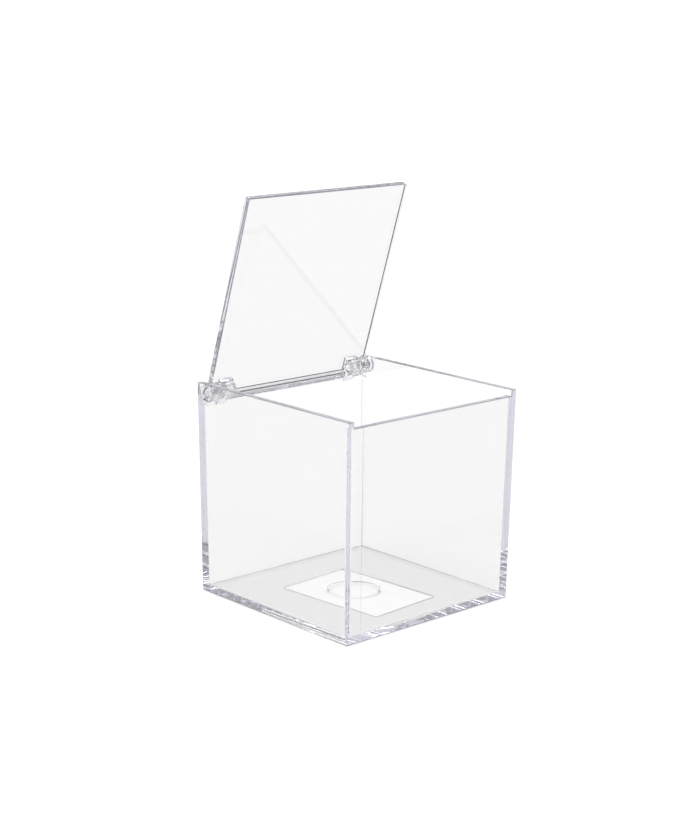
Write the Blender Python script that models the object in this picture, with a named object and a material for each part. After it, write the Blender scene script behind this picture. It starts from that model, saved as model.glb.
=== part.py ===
"""Clear acrylic display cube with a hinged lid, modelled in metres with +Z up.

The origin is the middle of the tray's underside. The front faces -Y, the hinge
runs along X close to the back wall, and the lid stands open at its rest angle.
"""

import math

import bmesh
import bpy

MM = 0.001

# Tray: one moulding of a floor, four walls and two hinge ears.
WIDTH = 55.0 * MM
TRAY_HEIGHT = 53.4 * MM
WALL = 1.6 * MM
FLOOR = 1.6 * MM
DRAFT_INSET = 0.6 * MM
ARRIS_RADIUS = 0.12 * MM
FOOT_CHAMFER = 0.2 * MM
CAVITY_RADIUS = 0.35 * MM
LEAST_CORNER_RADIUS = 0.1 * MM
FRONT_DROP = 1.6 * MM

# Lid: a flat plate that drops between the side walls.
LID_THICKNESS = 1.5 * MM
LID_SIDE_GAP = 0.3 * MM
LID_SETBACK = 1.2 * MM
LID_CORNER = 0.8 * MM
TAIL_STEP_RUN = 0.5 * MM
LID_OPEN_ANGLE = math.radians(72.5)

# Hinge: an axis in from the back face and down from the rim.
AXIS_FROM_BACK = 3.2 * MM
AXIS_BELOW_RIM = 2.2 * MM
KNUCKLE_RADIUS = 2.05 * MM
KNUCKLE_LENGTH = 3.0 * MM
KNUCKLE_GAP = 0.3 * MM
NOSE_RADIUS = 3.0 * MM
NOSE_DEPTH = 2.3 * MM
TROUGH_RADIUS = 3.25 * MM
EAR_ROOT_DEPTH = 0.5 * MM
EAR_ROOT_OVERLAP = 0.2 * MM
PIN_RADIUS = 0.8 * MM
PIN_HEAD_RADIUS = 1.85 * MM
PIN_HEAD_THICKNESS = 0.6 * MM
PIN_HEAD_SETBACK = 0.1 * MM
PIN_DOME = 0.18 * MM
PIN_TIP_SETBACK = 0.15 * MM
PIN_TIP_CHAMFER = 0.2 * MM
RUNNING_CLEARANCE = 0.08 * MM
HEAD_POCKET_DEPTH = 0.75 * MM

# Underside: a shallow recess for the white pad and a round gate well above it.
PAD_SIZE_X = 21.0 * MM
PAD_SIZE_Y = 30.0 * MM
PAD_MIDDLE = (-0.4 * MM, -2.2 * MM)
PAD_TURN = math.radians(4)
PAD_THICKNESS = 0.4 * MM
PAD_CLEARANCE = 0.3 * MM
PAD_LIFT = 0.05 * MM
PAD_CORNER = 0.6 * MM
WELL_RADIUS = 6.3 * MM
WELL_DEPTH = 0.45 * MM
WELL_SLOPE_RUN = 0.55 * MM

ROUND_SIDES = 32
SMOOTH_ANGLE = math.radians(35)
OVERCUT = 1.0 * MM

HALF = WIDTH / 2
INNER_HALF = HALF - WALL
AXIS_Y = HALF - AXIS_FROM_BACK
AXIS_Z = TRAY_HEIGHT - AXIS_BELOW_RIM
LID_HALF = INNER_HALF - LID_SIDE_GAP
EAR_OUTER = LID_HALF - KNUCKLE_LENGTH - KNUCKLE_GAP
EAR_INNER = EAR_OUTER - KNUCKLE_LENGTH
BORE_RADIUS = PIN_RADIUS + RUNNING_CLEARANCE


def clear_scene():
    for obj in list(bpy.data.objects):
        bpy.data.objects.remove(obj, do_unlink=True)


def make_material(name, colour, roughness, transmission):
    material = bpy.data.materials.new(name)
    material.use_nodes = True
    shader = material.node_tree.nodes["Principled BSDF"]
    shader.inputs["Base Color"].default_value = colour
    shader.inputs["Roughness"].default_value = roughness
    shader.inputs["Metallic"].default_value = 0.0
    shader.inputs["IOR"].default_value = 1.49
    shader.inputs["Transmission Weight"].default_value = transmission
    return material


def add_object(name, bm):
    bmesh.ops.recalc_face_normals(bm, faces=bm.faces)
    mesh = bpy.data.meshes.new(name)
    bm.to_mesh(mesh)
    bm.free()
    obj = bpy.data.objects.new(name, mesh)
    bpy.context.collection.objects.link(obj)
    return obj


def finish(obj, material):
    obj.data.materials.append(material)
    obj.data.shade_smooth()
    obj.data.set_sharp_from_angle(angle=SMOOTH_ANGLE)


def rounded_rectangle(half_x, half_y, radius, steps):
    """Corner points of a rectangle with round corners, anticlockwise from +X +Y."""
    points = []
    for corner, (sign_x, sign_y) in enumerate(((1, 1), (-1, 1), (-1, -1), (1, -1))):
        centre_x = sign_x * (half_x - radius)
        centre_y = sign_y * (half_y - radius)
        for step in range(steps + 1):
            angle = math.radians(90 * corner + 90 * step / steps)
            points.append((centre_x + radius * math.cos(angle), centre_y + radius * math.sin(angle)))
    return points


def stacked_rings(name, rings):
    """A closed solid through level rings, each given as (outline points, height)."""
    bm = bmesh.new()
    loops = [[bm.verts.new((x, y, z)) for x, y in outline] for outline, z in rings]
    for lower, upper in zip(loops, loops[1:]):
        count = len(lower)
        for i in range(count):
            j = (i + 1) % count
            bm.faces.new((lower[i], lower[j], upper[j], upper[i]))
    bm.faces.new(list(reversed(loops[0])))
    bm.faces.new(loops[-1])
    return add_object(name, bm)


def prism_along_x(name, profile, x_start, x_end):
    """A closed solid with a (y, z) profile pushed from x_start to x_end."""
    bm = bmesh.new()
    near = [bm.verts.new((x_start, y, z)) for y, z in profile]
    far = [bm.verts.new((x_end, y, z)) for y, z in profile]
    count = len(profile)
    for i in range(count):
        j = (i + 1) % count
        bm.faces.new((near[i], near[j], far[j], far[i]))
    bm.faces.new(list(reversed(near)))
    bm.faces.new(far)
    return add_object(name, bm)


def box(name, x_range, y_range, z_range):
    profile = [
        (y_range[0], z_range[0]),
        (y_range[1], z_range[0]),
        (y_range[1], z_range[1]),
        (y_range[0], z_range[1]),
    ]
    return prism_along_x(name, profile, *x_range)


def arc(centre, radius, start_degrees, end_degrees, steps):
    """Points of a (y, z) arc, angles measured from +Y towards +Z."""
    points = []
    for step in range(steps + 1):
        angle = math.radians(start_degrees + (end_degrees - start_degrees) * step / steps)
        points.append((centre[0] + radius * math.cos(angle), centre[1] + radius * math.sin(angle)))
    return points


def disc_profile(centre, radius):
    return arc(centre, radius, 0, 360, ROUND_SIDES)[:-1]


def combine(target, tool, operation):
    modifier = target.modifiers.new(tool.name, "BOOLEAN")
    modifier.operation = operation
    modifier.solver = "EXACT"
    modifier.object = tool
    tool.parent = target
    tool.hide_render = True
    tool.display_type = "WIRE"


def draft_half(half, height):
    """Half width of a drafted wall at a height: full at the rim, less at the foot."""
    return half - DRAFT_INSET * (1 - height / TRAY_HEIGHT)


def outer_form(name):
    """The tray's outside: drafted, with round upright arrises and a chamfered foot."""
    foot_half = draft_half(HALF, 0) - FOOT_CHAMFER
    low_half = draft_half(HALF, FOOT_CHAMFER)
    rings = []
    for half, height in ((foot_half, 0), (low_half, FOOT_CHAMFER), (HALF, TRAY_HEIGHT)):
        rings.append((rounded_rectangle(half, half, ARRIS_RADIUS, 3), height))
    return stacked_rings(name, rings)


def cavity_form():
    """The tray's inside, with a small fillet round the floor and open at the top."""
    floor_half = draft_half(INNER_HALF, FLOOR)
    rings = []
    fillet_steps = 3
    for step in range(fillet_steps + 1):
        angle = math.radians(90 * step / fillet_steps)
        inset = CAVITY_RADIUS * (1 - math.sin(angle))
        height = FLOOR + CAVITY_RADIUS * (1 - math.cos(angle))
        half = floor_half - inset
        radius = max(CAVITY_RADIUS - inset, LEAST_CORNER_RADIUS)
        rings.append((rounded_rectangle(half, half, radius, 3), height))
    top_height = TRAY_HEIGHT + OVERCUT
    top_half = draft_half(INNER_HALF, top_height)
    rings.append((rounded_rectangle(top_half, top_half, CAVITY_RADIUS, 3), top_height))
    return stacked_rings("cavity_cutter", rings)


def ear_profile():
    """Side view of a hinge ear: a round eye on a foot that grows out of the back wall."""
    axis = (AXIS_Y, AXIS_Z)
    eye = arc(axis, KNUCKLE_RADIUS, 0, 270, ROUND_SIDES * 3 // 4)
    foot_height = AXIS_Z - TROUGH_RADIUS - EAR_ROOT_DEPTH
    foot = [
        (INNER_HALF - EAR_ROOT_OVERLAP, foot_height),
        (HALF + OVERCUT, foot_height),
        (HALF + OVERCUT, AXIS_Z),
    ]
    return eye + foot


def trough_profile():
    """The hollow along the back wall's top in which the lid's tail turns."""
    drop = AXIS_FROM_BACK + OVERCUT
    side_angle = -math.degrees(math.acos(min(1.0, AXIS_FROM_BACK / TROUGH_RADIUS)))
    hollow = arc((AXIS_Y, AXIS_Z), TROUGH_RADIUS, side_angle, -90, 14)
    lip_z = hollow[0][1]
    top = TRAY_HEIGHT + OVERCUT
    return hollow + [
        (AXIS_Y, top),
        (AXIS_Y + drop, top),
        (AXIS_Y + drop, lip_z),
    ]


def pad_outline(margin):
    """The pad's outline grown by a margin, turned a little and set off the middle."""
    half_x = PAD_SIZE_X / 2 + margin
    half_y = PAD_SIZE_Y / 2 + margin
    points = []
    for x, y in rounded_rectangle(half_x, half_y, PAD_CORNER + margin, 4):
        turned_x = x * math.cos(PAD_TURN) - y * math.sin(PAD_TURN)
        turned_y = x * math.sin(PAD_TURN) + y * math.cos(PAD_TURN)
        points.append((PAD_MIDDLE[0] + turned_x, PAD_MIDDLE[1] + turned_y))
    return points


def build_tray(material):
    tray = outer_form("tray")
    combine(tray, cavity_form(), "DIFFERENCE")

    front_gap = box(
        "front_drop_cutter",
        (-INNER_HALF, INNER_HALF),
        (-HALF - OVERCUT, -HALF + WALL + OVERCUT),
        (TRAY_HEIGHT - FRONT_DROP, TRAY_HEIGHT + OVERCUT),
    )
    combine(tray, front_gap, "DIFFERENCE")

    trough = prism_along_x("trough_cutter", trough_profile(), -INNER_HALF, INNER_HALF)
    combine(tray, trough, "DIFFERENCE")

    for side, sign in (("left", -1), ("right", 1)):
        ear = prism_along_x(f"ear_{side}", ear_profile(), sign * EAR_INNER, sign * EAR_OUTER)
        combine(tray, ear, "UNION")
    combine(tray, outer_form("trim_form"), "INTERSECT")

    axis = (AXIS_Y, AXIS_Z)
    for side, sign in (("left", -1), ("right", 1)):
        bore = prism_along_x(
            f"bore_{side}",
            disc_profile(axis, BORE_RADIUS),
            sign * (EAR_INNER - OVERCUT),
            sign * (HALF + OVERCUT),
        )
        combine(tray, bore, "DIFFERENCE")
        pocket = prism_along_x(
            f"head_pocket_{side}",
            disc_profile(axis, PIN_HEAD_RADIUS + RUNNING_CLEARANCE),
            sign * (HALF - HEAD_POCKET_DEPTH),
            sign * (HALF + OVERCUT),
        )
        combine(tray, pocket, "DIFFERENCE")

    recess_top = PAD_LIFT + PAD_THICKNESS + PAD_CLEARANCE
    recess_outline = pad_outline(PAD_CLEARANCE)
    recess = stacked_rings("pad_recess_cutter", [(recess_outline, -OVERCUT), (recess_outline, recess_top)])
    combine(tray, recess, "DIFFERENCE")
    well_mouth = disc_profile((0, 0), WELL_RADIUS)
    well_end = disc_profile((0, 0), WELL_RADIUS - WELL_SLOPE_RUN)
    well = stacked_rings(
        "gate_well_cutter",
        [(well_mouth, -OVERCUT), (well_mouth, recess_top), (well_end, recess_top + WELL_DEPTH)],
    )
    combine(tray, well, "DIFFERENCE")
    finish(tray, material)
    return tray


def lid_profile():
    """Side view of the closed lid about its hinge axis: a plate with a round tail."""
    top = AXIS_BELOW_RIM
    underside = top - LID_THICKNESS
    tail_floor = top - NOSE_DEPTH
    front = -HALF + LID_SETBACK - AXIS_Y
    step_y = INNER_HALF - LID_SIDE_GAP - AXIS_Y
    low_angle = math.degrees(math.asin(tail_floor / NOSE_RADIUS))
    high_angle = math.degrees(math.asin(top / NOSE_RADIUS))
    nose = arc((0, 0), NOSE_RADIUS, low_angle, high_angle, 10)
    plate = [(front, top), (front, underside)]
    step = [(step_y - TAIL_STEP_RUN, underside), (step_y, tail_floor)]
    return plate + step + nose


def build_lid(material):
    lid = prism_along_x("lid", lid_profile(), -LID_HALF, LID_HALF)
    front_edges = []
    bm = bmesh.new()
    bm.from_mesh(lid.data)
    front_y = min(vert.co.y for vert in bm.verts)
    for edge in bm.edges:
        first, second = edge.verts
        upright = abs(first.co.z - second.co.z) > LID_THICKNESS / 2
        if upright and max(first.co.y, second.co.y) < front_y + LID_CORNER:
            front_edges.append(edge)
    bmesh.ops.bevel(bm, geom=front_edges, offset=LID_CORNER, segments=4, affect="EDGES", profile=0.5)
    bm.to_mesh(lid.data)
    bm.free()

    notch_front = -(KNUCKLE_RADIUS + KNUCKLE_GAP)
    for side, sign in (("left", -1), ("right", 1)):
        notch = box(
            f"notch_{side}",
            (sign * (EAR_INNER - KNUCKLE_GAP), sign * (EAR_OUTER + KNUCKLE_GAP)),
            (notch_front, NOSE_RADIUS + OVERCUT),
            (-NOSE_RADIUS - OVERCUT, NOSE_RADIUS + OVERCUT),
        )
        combine(lid, notch, "DIFFERENCE")
        knuckle = prism_along_x(
            f"knuckle_{side}",
            disc_profile((0, 0), KNUCKLE_RADIUS),
            sign * (LID_HALF - KNUCKLE_LENGTH),
            sign * LID_HALF,
        )
        combine(lid, knuckle, "UNION")
        bore = prism_along_x(
            f"lid_bore_{side}",
            disc_profile((0, 0), BORE_RADIUS),
            sign * (EAR_INNER - OVERCUT),
            sign * (HALF + OVERCUT),
        )
        combine(lid, bore, "DIFFERENCE")

    lid.location = (0, AXIS_Y, AXIS_Z)
    lid.rotation_euler = (-LID_OPEN_ANGLE, 0, 0)
    finish(lid, material)
    return lid


def build_pin(side, sign, material):
    """A moulded peg with a domed head, turned about X and pushed in from outside."""
    head_face = HALF - PIN_HEAD_SETBACK
    shoulder = head_face - PIN_HEAD_THICKNESS
    tip = EAR_INNER + PIN_TIP_SETBACK
    outline = [
        (tip, 0.0),
        (tip, PIN_RADIUS - PIN_TIP_CHAMFER),
        (tip + PIN_TIP_CHAMFER, PIN_RADIUS),
        (shoulder, PIN_RADIUS),
        (shoulder, PIN_HEAD_RADIUS),
        (head_face - 2 * PIN_DOME, PIN_HEAD_RADIUS),
        (head_face - PIN_DOME, PIN_HEAD_RADIUS - PIN_DOME),
        (head_face - PIN_DOME / 3, PIN_HEAD_RADIUS / 2),
        (head_face, 0.0),
    ]
    bm = bmesh.new()
    rings = []
    for along, radius in outline:
        if radius == 0:
            rings.append([bm.verts.new((sign * along, 0, 0))])
            continue
        ring = []
        for y, z in disc_profile((0, 0), radius):
            ring.append(bm.verts.new((sign * along, y, z)))
        rings.append(ring)
    for first, second in zip(rings, rings[1:]):
        for i in range(ROUND_SIDES):
            j = (i + 1) % ROUND_SIDES
            near_pair = [first[i % len(first)], first[j % len(first)]]
            far_pair = [second[j % len(second)], second[i % len(second)]]
            bm.faces.new(list(dict.fromkeys(near_pair + far_pair)))
    pin = add_object(f"hinge_pin_{side}", bm)
    pin.location = (0, AXIS_Y, AXIS_Z)
    finish(pin, material)
    return pin


def build_base_pad(material):
    outline = pad_outline(0.0)
    pad = stacked_rings("base_pad", [(outline, PAD_LIFT), (outline, PAD_LIFT + PAD_THICKNESS)])
    finish(pad, material)
    return pad


clear_scene()
acrylic = make_material("clear_acrylic", (0.97, 0.97, 0.99, 1.0), 0.03, 1.0)
pin_acrylic = make_material("pin_acrylic", (0.96, 0.96, 0.99, 1.0), 0.06, 1.0)
pad_white = make_material("pad_white", (0.93, 0.93, 0.94, 1.0), 0.55, 0.0)
build_tray(acrylic)
build_lid(acrylic)
build_pin("left", -1, pin_acrylic)
build_pin("right", 1, pin_acrylic)
build_base_pad(pad_white)
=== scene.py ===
import math

import bmesh
import bpy
from mathutils import Matrix, Vector


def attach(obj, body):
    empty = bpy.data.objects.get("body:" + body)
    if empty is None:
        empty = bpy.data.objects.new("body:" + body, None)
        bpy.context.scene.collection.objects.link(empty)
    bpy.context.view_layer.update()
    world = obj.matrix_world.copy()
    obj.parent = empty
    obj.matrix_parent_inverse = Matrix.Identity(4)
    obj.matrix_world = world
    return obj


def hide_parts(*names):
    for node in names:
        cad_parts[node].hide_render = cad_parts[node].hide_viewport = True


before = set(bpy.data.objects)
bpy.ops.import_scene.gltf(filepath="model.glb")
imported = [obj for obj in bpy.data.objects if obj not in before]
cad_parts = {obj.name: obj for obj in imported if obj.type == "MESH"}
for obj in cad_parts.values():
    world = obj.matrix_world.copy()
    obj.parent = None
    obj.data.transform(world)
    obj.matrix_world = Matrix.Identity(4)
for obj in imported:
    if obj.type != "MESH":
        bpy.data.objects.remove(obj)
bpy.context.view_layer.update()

# The tray is one injection moulding of clear acrylic: a floor, four drafted walls and the ears
# of the hinge. Its edges come out of the mould a touch soft, and its faces carry faint flow
# ripples and the hairlines of handling.

MM = 0.001
TRAY_EDGE_RADIUS = 0.10 * MM
TRAY_TINT = (0.912, 0.912, 0.909, 1.0)
# Painted light: the eased edge strips are tinted lighter and more lavender than the faces, for the
# lavender glow that light carried inside the acrylic gives its edges.
TRAY_EDGE_PAINTED_CAST = (0.96, 0.95, 1.0, 1.0)
EDGE_SEGMENTS = 2
WELD_DISTANCE = 0.002 * MM
FLAT_WITHIN = math.radians(0.6)
EASED_OVER = math.radians(38)
SMOOTH_UNDER = math.radians(40)
TIGHT_CORNER = Vector((25.85, 25.15, 51.8)) * MM
TIGHT_REACH = 0.3 * MM
ACRYLIC_IOR = 1.49
LIGHT_LET_THROUGH = (0.985, 0.985, 0.984, 1.0)
DEPTH_COLOUR = (0.40, 0.38, 0.55, 1.0)
TRAY_DEPTH_DENSITY = 11.0
CLEAR_HAZE = 0.0
HANDLED_HAZE = 0.12
TRAY_EDGE_HAZE = 0.04
TRAY_EDGE_WORN_HAZE = 0.25
FACE_RIPPLE = 0.004 * MM
RIPPLES_PER_METRE = 60.0
RIPPLE_DETAIL = 1.0
RIPPLE_DISTORTION = 0.6
HAIRLINES_PER_METRE = 900.0
HAIRLINE_DETAIL = 2.0
HAIRLINE_COVER = 0.3
HAIRLINE_START = 0.62
HAIRLINE_FULL = 0.74
HAIRLINE_LAYS = (
    ((0.3, 0.9, 0.2), (1.0, 0.02, 1.0)),
    ((1.1, 0.2, 0.7), (0.03, 1.0, 1.0)),
)


def in_tight_corner(vertex):
    """True at the inner ends of the front rim, which are too tight to be eased."""
    offset = Vector((abs(vertex.co.x), -vertex.co.y, vertex.co.z)) - TIGHT_CORNER
    return all(abs(part) < TIGHT_REACH for part in offset)


def eased_copy(node_name, piece_name, edge_radius, face_material, edge_material):
    """A welded copy of a moulding, its flat faces whole and its sharp edges eased."""
    bm = bmesh.new()
    bm.from_mesh(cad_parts[node_name].data)
    bmesh.ops.remove_doubles(bm, verts=bm.verts, dist=WELD_DISTANCE)
    bmesh.ops.dissolve_limit(bm, angle_limit=FLAT_WITHIN, verts=bm.verts, edges=bm.edges)
    easing_share = bm.edges.layers.float.new("bevel_weight_edge")
    for edge in bm.edges:
        if edge.calc_face_angle() > EASED_OVER and not any(map(in_tight_corner, edge.verts)):
            edge[easing_share] = 1.0
    mesh = bpy.data.meshes.new(piece_name)
    bm.to_mesh(mesh)
    bm.free()
    piece = bpy.data.objects.new(piece_name, mesh)
    bpy.context.collection.objects.link(piece)
    easing = piece.modifiers.new("eased_edges", "BEVEL")
    easing.width = edge_radius
    easing.segments = EDGE_SEGMENTS
    easing.limit_method = "WEIGHT"
    easing.miter_outer = "MITER_ARC"
    easing.material = 1
    easing.use_clamp_overlap = False
    flat_faces = piece.modifiers.new("flat_faces_stay_flat", "WEIGHTED_NORMAL")
    flat_faces.mode = "FACE_AREA"
    flat_faces.weight = 100
    flat_faces.keep_sharp = True
    mesh.materials.append(face_material)
    mesh.materials.append(edge_material)
    mesh.shade_smooth()
    mesh.set_sharp_from_angle(angle=SMOOTH_UNDER)
    return piece


def group_socket(tree, name, direction, kind, value=None):
    """One named input or output of a shader node group."""
    socket = tree.interface.new_socket(name=name, in_out=direction, socket_type=kind)
    if value is not None:
        socket.default_value = value


def build_hairlines():
    """Fine rubbed lines in two directions, as a mask from 0 to 1."""
    tree = bpy.data.node_groups.new("hairlines", "ShaderNodeTree")
    group_socket(tree, "Position", "INPUT", "NodeSocketVector")
    group_socket(tree, "Fineness", "INPUT", "NodeSocketFloat", HAIRLINES_PER_METRE)
    group_socket(tree, "Cover", "INPUT", "NodeSocketFloat", HAIRLINE_COVER)
    group_socket(tree, "Mask", "OUTPUT", "NodeSocketFloat")
    nodes = tree.nodes
    links = tree.links
    given = nodes.new("NodeGroupInput")
    result = nodes.new("NodeGroupOutput")
    layers = []
    for turn, stretch in HAIRLINE_LAYS:
        lay = nodes.new("ShaderNodeMapping")
        lay.inputs["Rotation"].default_value = turn
        lay.inputs["Scale"].default_value = stretch
        grain = nodes.new("ShaderNodeTexNoise")
        grain.inputs["Detail"].default_value = HAIRLINE_DETAIL
        links.new(given.outputs["Position"], lay.inputs["Vector"])
        links.new(lay.outputs["Vector"], grain.inputs["Vector"])
        links.new(given.outputs["Fineness"], grain.inputs["Scale"])
        line = nodes.new("ShaderNodeMapRange")
        line.inputs["From Min"].default_value = HAIRLINE_START
        line.inputs["From Max"].default_value = HAIRLINE_FULL
        links.new(grain.outputs["Fac"], line.inputs["Value"])
        layers.append(line)
    either = nodes.new("ShaderNodeMath")
    either.operation = "MAXIMUM"
    links.new(layers[0].outputs["Result"], either.inputs[0])
    links.new(layers[1].outputs["Result"], either.inputs[1])
    thin = nodes.new("ShaderNodeMath")
    thin.operation = "MULTIPLY"
    links.new(either.outputs["Value"], thin.inputs[0])
    links.new(given.outputs["Cover"], thin.inputs[1])
    links.new(thin.outputs["Value"], result.inputs["Mask"])
    return tree


def build_flow_ripple():
    """The slow waviness of a moulded face, as a height in metres."""
    tree = bpy.data.node_groups.new("flow_ripple", "ShaderNodeTree")
    group_socket(tree, "Position", "INPUT", "NodeSocketVector")
    group_socket(tree, "Waves per metre", "INPUT", "NodeSocketFloat", RIPPLES_PER_METRE)
    group_socket(tree, "Depth", "INPUT", "NodeSocketFloat", FACE_RIPPLE)
    group_socket(tree, "Height", "OUTPUT", "NodeSocketFloat")
    nodes = tree.nodes
    links = tree.links
    given = nodes.new("NodeGroupInput")
    result = nodes.new("NodeGroupOutput")
    swell = nodes.new("ShaderNodeTexNoise")
    swell.inputs["Detail"].default_value = RIPPLE_DETAIL
    swell.inputs["Distortion"].default_value = RIPPLE_DISTORTION
    links.new(given.outputs["Position"], swell.inputs["Vector"])
    links.new(given.outputs["Waves per metre"], swell.inputs["Scale"])
    depth = nodes.new("ShaderNodeMath")
    depth.operation = "MULTIPLY"
    links.new(swell.outputs["Fac"], depth.inputs[0])
    links.new(given.outputs["Depth"], depth.inputs[1])
    links.new(depth.outputs["Value"], result.inputs["Height"])
    return tree


hairlines = build_hairlines()
flow_ripple = build_flow_ripple()


def acrylic(name, tint, haze, rubbed_haze, ripple_depth, depth_density):
    """Clear acrylic that turns lavender-grey over a long way through it, as along a wall.

    Light on its way to brighten the floor or the pad goes straight through, a little dimmed.
    """
    material = bpy.data.materials.new(name)
    material.use_nodes = True
    nodes = material.node_tree.nodes
    links = material.node_tree.links
    shader = nodes["Principled BSDF"]
    shader.inputs["Base Color"].default_value = tint
    shader.inputs["IOR"].default_value = ACRYLIC_IOR
    shader.inputs["Metallic"].default_value = 0.0
    shader.inputs["Transmission Weight"].default_value = 1.0
    place = nodes.new("ShaderNodeTexCoord")

    rubbed = nodes.new("ShaderNodeGroup")
    rubbed.node_tree = hairlines
    links.new(place.outputs["Object"], rubbed.inputs["Position"])
    gloss = nodes.new("ShaderNodeMapRange")
    gloss.inputs["To Min"].default_value = haze
    gloss.inputs["To Max"].default_value = rubbed_haze
    links.new(rubbed.outputs["Mask"], gloss.inputs["Value"])
    links.new(gloss.outputs["Result"], shader.inputs["Roughness"])

    ripple = nodes.new("ShaderNodeGroup")
    ripple.node_tree = flow_ripple
    ripple.inputs["Depth"].default_value = ripple_depth
    links.new(place.outputs["Object"], ripple.inputs["Position"])
    bump = nodes.new("ShaderNodeBump")
    bump.inputs["Distance"].default_value = 1.0
    links.new(ripple.outputs["Height"], bump.inputs["Height"])
    links.new(bump.outputs["Normal"], shader.inputs["Normal"])

    pass_light = nodes.new("ShaderNodeBsdfTransparent")
    pass_light.inputs["Color"].default_value = LIGHT_LET_THROUGH
    light_path = nodes.new("ShaderNodeLightPath")
    surface = shader
    for ray in ("Is Shadow Ray", "Is Diffuse Ray"):
        choose = nodes.new("ShaderNodeMixShader")
        links.new(light_path.outputs[ray], choose.inputs[0])
        links.new(surface.outputs[0], choose.inputs[1])
        links.new(pass_light.outputs[0], choose.inputs[2])
        surface = choose
    output = nodes["Material Output"]
    links.new(surface.outputs[0], output.inputs["Surface"])
    depth_tint = nodes.new("ShaderNodeVolumeAbsorption")
    depth_tint.inputs["Color"].default_value = DEPTH_COLOUR
    depth_tint.inputs["Density"].default_value = depth_density
    links.new(depth_tint.outputs[0], output.inputs["Volume"])
    return material


tray_acrylic = acrylic(
    "tray_acrylic", TRAY_TINT, CLEAR_HAZE, HANDLED_HAZE, FACE_RIPPLE, TRAY_DEPTH_DENSITY
)
# The edge material is hazier where worn, which is real wear, and its lighter lavender tint is painted
# light on the edges.
tray_edges_worn_and_painted = acrylic(
    "tray_edges_worn_and_painted", TRAY_EDGE_PAINTED_CAST, TRAY_EDGE_HAZE, TRAY_EDGE_WORN_HAZE, FACE_RIPPLE, TRAY_DEPTH_DENSITY
)
tray = eased_copy("tray", "tray_moulding", TRAY_EDGE_RADIUS, tray_acrylic, tray_edges_worn_and_painted)
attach(tray, "tray")
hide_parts("tray")

# The lid is a flat acrylic plate with a thicker tail along its back, where two round eyes turn on
# the pins between the tray's ears. It is moulded like the tray, and its edges are rounder and
# more worn, as it is what the hand takes hold of.

LID_EDGE_RADIUS = 0.22 * MM
LID_TINT = (0.84, 0.84, 0.84, 1.0)
# Painted light: the lid's eased edges are tinted lighter and more lavender than its faces, for the
# lavender glow that light carried inside the plate gives its edges.
LID_EDGE_PAINTED_CAST = (0.94, 0.93, 1.0, 1.0)
LID_DEPTH_DENSITY = 5.5
LID_EDGE_HAZE = 0.08
LID_EDGE_WORN_HAZE = 0.3

lid_acrylic = acrylic(
    "lid_acrylic", LID_TINT, CLEAR_HAZE, HANDLED_HAZE, FACE_RIPPLE, LID_DEPTH_DENSITY
)
# The edge material is hazier where worn, which is real wear, and its lighter lavender tint is painted
# light on the edges.
lid_edges_worn_and_painted = acrylic(
    "lid_edges_worn_and_painted", LID_EDGE_PAINTED_CAST, LID_EDGE_HAZE, LID_EDGE_WORN_HAZE, FACE_RIPPLE, LID_DEPTH_DENSITY
)
lid = eased_copy("lid", "lid_moulding", LID_EDGE_RADIUS, lid_acrylic, lid_edges_worn_and_painted)
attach(lid, "lid")
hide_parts("lid")

# The hinge pins are small turned pegs of the same acrylic with domed heads. They are pushed in
# through the side walls and stay a little cloudy where they were pressed.

PIN_TINT = (0.97, 0.97, 0.98, 1.0)
PIN_HAZE = 0.02
PIN_SCUFFED_HAZE = 0.2
PIN_RIPPLE = 0.01 * MM

pin_acrylic = acrylic(
    "pin_acrylic", PIN_TINT, PIN_HAZE, PIN_SCUFFED_HAZE, PIN_RIPPLE, LID_DEPTH_DENSITY
)
for side in ("left", "right"):
    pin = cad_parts[f"hinge_pin_{side}"]
    pin.data.materials.clear()
    pin.data.materials.append(pin_acrylic)

# The base pad is a thin white card, cut square and stuck by hand in a shallow recess under the
# tray's floor, so that it sits a little turned. It is matt, with a fine fibre grain.

PAD_WHITE = (0.90, 0.90, 0.895, 1.0)
PAD_SHADE = (0.82, 0.82, 0.815, 1.0)
PAD_ROUGHNESS = 0.75
FIBRES_PER_METRE = 3500.0
FIBRE_DETAIL = 4.0
FIBRE_HEIGHT = 0.01 * MM
FIBRE_SHADE_END = 0.35
FIBRE_WHITE_START = 0.6

pad_card = bpy.data.materials.new("pad_card")
pad_card.use_nodes = True
card_nodes = pad_card.node_tree.nodes
card_links = pad_card.node_tree.links
card = card_nodes["Principled BSDF"]
card.inputs["Roughness"].default_value = PAD_ROUGHNESS
card_place = card_nodes.new("ShaderNodeTexCoord")
fibres = card_nodes.new("ShaderNodeTexNoise")
fibres.inputs["Scale"].default_value = FIBRES_PER_METRE
fibres.inputs["Detail"].default_value = FIBRE_DETAIL
card_links.new(card_place.outputs["Object"], fibres.inputs["Vector"])
card_colour = card_nodes.new("ShaderNodeValToRGB")
card_colour.color_ramp.elements[0].position = FIBRE_SHADE_END
card_colour.color_ramp.elements[0].color = PAD_SHADE
card_colour.color_ramp.elements[1].position = FIBRE_WHITE_START
card_colour.color_ramp.elements[1].color = PAD_WHITE
card_links.new(fibres.outputs["Fac"], card_colour.inputs["Fac"])
card_links.new(card_colour.outputs["Color"], card.inputs["Base Color"])
card_bump = card_nodes.new("ShaderNodeBump")
card_bump.inputs["Distance"].default_value = FIBRE_HEIGHT
card_links.new(fibres.outputs["Fac"], card_bump.inputs["Height"])
card_links.new(card_bump.outputs["Normal"], card.inputs["Normal"])
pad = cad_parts["base_pad"]
pad.data.materials.clear()
pad.data.materials.append(pad_card)

# The studio: a pale matt floor, a broad soft light overhead, and a surround that is bright
# behind the box and greyer towards the viewer, so that the edges of the acrylic read.

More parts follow.
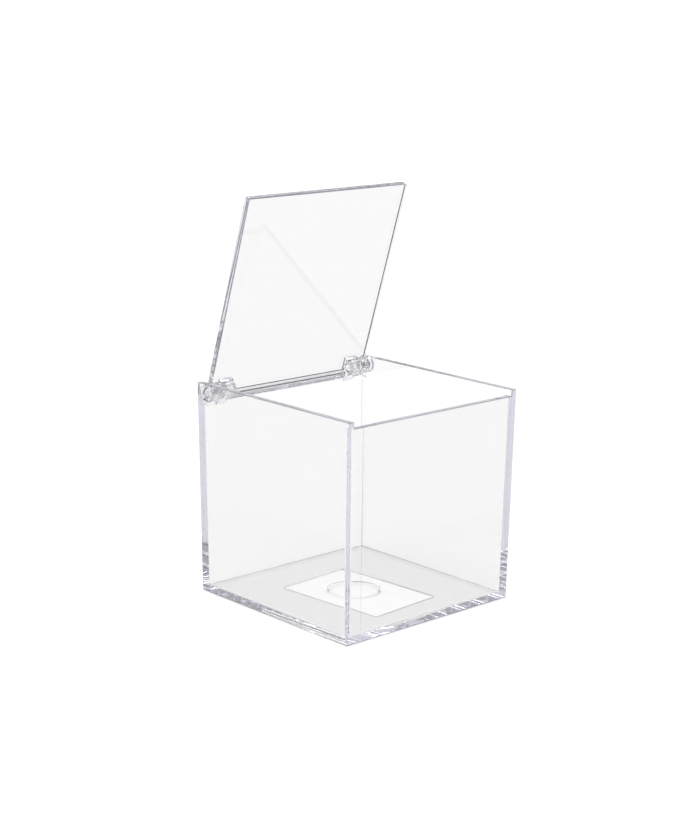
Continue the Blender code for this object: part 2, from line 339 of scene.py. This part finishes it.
FLOOR_HALF = 40.0
FLOOR_DROP = 0.02 * MM
FLOOR_COLOUR = (0.72, 0.72, 0.72, 1.0)
FLOOR_ROUGHNESS = 0.9
SOFTBOX_ANGLE = math.radians(50)
SOFTBOX_ENERGY = 3.0
SOFTBOX_TILT = (math.radians(-18), math.radians(6), 0)
SURROUND_BEHIND = (0.15, (1.0, 1.0, 1.0, 1.0))
SURROUND_BESIDE = (0.38, (0.68, 0.68, 0.68, 1.0))
SURROUND_VIEWER = (0.65, (0.54, 0.54, 0.54, 1.0))
SURROUND_RISE = 0.1
CAMERA_AZIMUTH = math.radians(-42.75)

floor_bm = bmesh.new()
floor_corners = []
for sign_x, sign_y in ((-1, -1), (1, -1), (1, 1), (-1, 1)):
    floor_corners.append(floor_bm.verts.new((sign_x * FLOOR_HALF, sign_y * FLOOR_HALF, -FLOOR_DROP)))
floor_bm.faces.new(floor_corners)
floor_mesh = bpy.data.meshes.new("studio_floor")
floor_bm.to_mesh(floor_mesh)
floor_bm.free()
studio_floor = bpy.data.objects.new("studio_floor", floor_mesh)
bpy.context.collection.objects.link(studio_floor)
floor_paper = bpy.data.materials.new("floor_paper")
floor_paper.use_nodes = True
paper = floor_paper.node_tree.nodes["Principled BSDF"]
paper.inputs["Base Color"].default_value = FLOOR_COLOUR
paper.inputs["Roughness"].default_value = FLOOR_ROUGHNESS
paper.inputs["Specular IOR Level"].default_value = 0.0
floor_mesh.materials.append(floor_paper)

softbox_data = bpy.data.lights.new("softbox", "SUN")
softbox_data.angle = SOFTBOX_ANGLE
softbox_data.energy = SOFTBOX_ENERGY
softbox = bpy.data.objects.new("softbox", softbox_data)
bpy.context.collection.objects.link(softbox)
softbox.rotation_euler = SOFTBOX_TILT

world = bpy.data.worlds.new("studio")
bpy.context.scene.world = world
world.use_nodes = True
world_nodes = world.node_tree.nodes
world_links = world.node_tree.links
heading = world_nodes.new("ShaderNodeTexCoord")
towards_viewer = Vector((math.sin(CAMERA_AZIMUTH), -math.cos(CAMERA_AZIMUTH), SURROUND_RISE))
facing = world_nodes.new("ShaderNodeVectorMath")
facing.operation = "DOT_PRODUCT"
facing.inputs[1].default_value = towards_viewer.normalized()
world_links.new(heading.outputs["Generated"], facing.inputs[0])
share = world_nodes.new("ShaderNodeMapRange")
share.inputs["From Min"].default_value = -1.0
world_links.new(facing.outputs["Value"], share.inputs["Value"])
surround = world_nodes.new("ShaderNodeValToRGB")
behind, viewer = surround.color_ramp.elements
behind.position, behind.color = SURROUND_BEHIND
viewer.position, viewer.color = SURROUND_VIEWER
beside = surround.color_ramp.elements.new(SURROUND_BESIDE[0])
beside.color = SURROUND_BESIDE[1]
world_links.new(share.outputs["Result"], surround.inputs["Fac"])
background = world_nodes["Background"]
background.inputs["Strength"].default_value = 1.0
world_links.new(surround.outputs["Color"], background.inputs["Color"])

# The camera stands a little above the rim and looks at the front arris, with the box upright
# in a tall frame.

CAMERA_ELEVATION = math.radians(15.38)
CAMERA_ROLL = math.radians(0.72)
CAMERA_DISTANCE = 0.4678
CAMERA_TARGET = Vector((0, 0, 0.030))
CAMERA_LENS = 97.5
CAMERA_SENSOR = 36.0
CAMERA_SHIFT = (-0.0075, 0.0996)
camera_data = bpy.data.cameras.new("studio_camera")
camera_data.sensor_fit = "HORIZONTAL"
camera_data.sensor_width = CAMERA_SENSOR
camera_data.lens = CAMERA_LENS
camera_data.shift_x, camera_data.shift_y = CAMERA_SHIFT
camera_data.clip_start = 0.01
camera = bpy.data.objects.new("studio_camera", camera_data)
bpy.context.collection.objects.link(camera)
back = Vector((
    math.sin(CAMERA_AZIMUTH) * math.cos(CAMERA_ELEVATION),
    -math.cos(CAMERA_AZIMUTH) * math.cos(CAMERA_ELEVATION),
    math.sin(CAMERA_ELEVATION),
))
right = Vector((0, 0, 1)).cross(back).normalized()
up = back.cross(right)
right_rolled = right * math.cos(CAMERA_ROLL) + up * math.sin(CAMERA_ROLL)
up_rolled = up * math.cos(CAMERA_ROLL) - right * math.sin(CAMERA_ROLL)
basis = Matrix((right_rolled, up_rolled, back)).transposed().to_4x4()
camera.matrix_world = Matrix.Translation(CAMERA_TARGET + back * CAMERA_DISTANCE) @ basis
bpy.context.scene.camera = camera

# Light runs far along a wall by reflection inside it, so the paths are let go on for long.

EDGE_BOUNCES = 128
STRAIGHT_PASSES = 32

scene = bpy.context.scene
scene.view_settings.view_transform = "Standard"
scene.cycles.max_bounces = EDGE_BOUNCES
scene.cycles.transmission_bounces = EDGE_BOUNCES
scene.cycles.glossy_bounces = EDGE_BOUNCES
scene.cycles.transparent_max_bounces = STRAIGHT_PASSES
